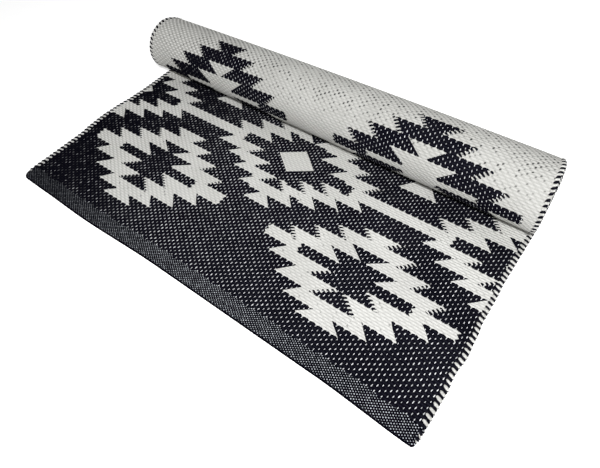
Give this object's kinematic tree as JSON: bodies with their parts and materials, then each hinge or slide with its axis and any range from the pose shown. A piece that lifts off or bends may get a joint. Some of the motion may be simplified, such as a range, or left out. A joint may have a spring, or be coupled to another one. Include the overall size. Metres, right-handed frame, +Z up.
{
  "type": "kilim rug",
  "caption": "Flat-woven rug, lying face up with its far half rolled back over itself into a hollow roll across the width.",
  "frame": {"origin": "on the floor, under the middle of the part's box", "axes": "+X along the roll and the front hem, from the left selvedge to the right; +Y from the front hem towards the roll; +Z up"},
  "size_m": [1.2221, 0.704, 0.17],
  "materials": {
    "woven_cotton": "thick matt cotton yarn, navy black ground with off-white stepped diamonds, colours reversed on the back"
  },
  "bodies": {
    "root": {"rug_cloth": "woven_cotton"}
  },
  "joints": []
}
